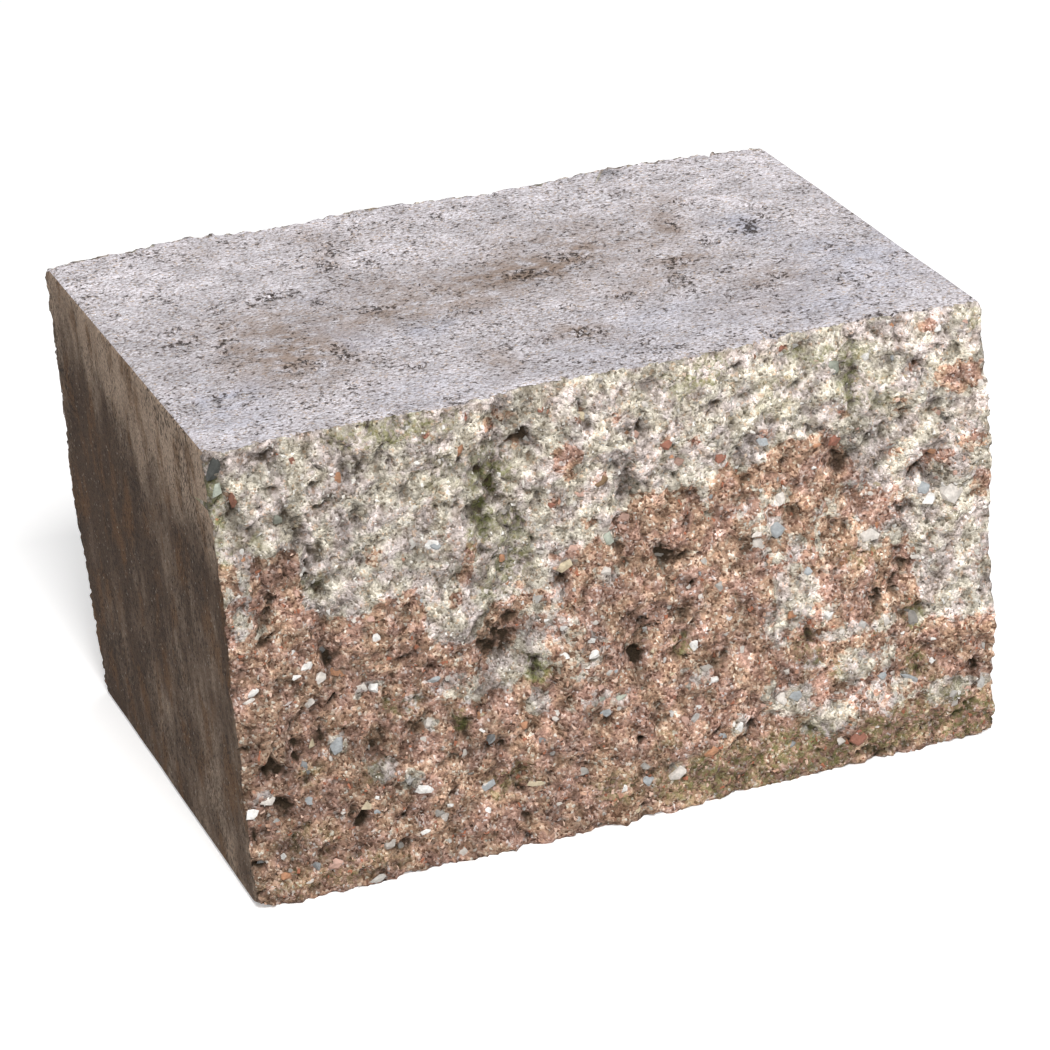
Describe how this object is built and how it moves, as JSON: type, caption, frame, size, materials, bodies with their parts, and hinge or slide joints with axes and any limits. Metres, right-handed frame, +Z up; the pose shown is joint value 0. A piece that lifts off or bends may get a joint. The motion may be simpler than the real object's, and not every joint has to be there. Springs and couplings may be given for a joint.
{
  "type": "wall block",
  "caption": "Solid cast-concrete garden wall block, flat on its bed, top and ends, with rough split faces along both long sides.",
  "frame": {"origin": "middle of the underside, half way between the moulded ends and between the mean planes of the two split faces", "axes": "+X along the block's length, +Y from the front split face to the back one, +Z up"},
  "size_m": [0.3, 0.2338, 0.178],
  "materials": {
    "concrete": "weathered two-colour concrete, pressed smooth on the moulded faces and rough with open stones on the split faces"
  },
  "bodies": {
    "root": {"wall_block": "concrete"}
  },
  "joints": []
}
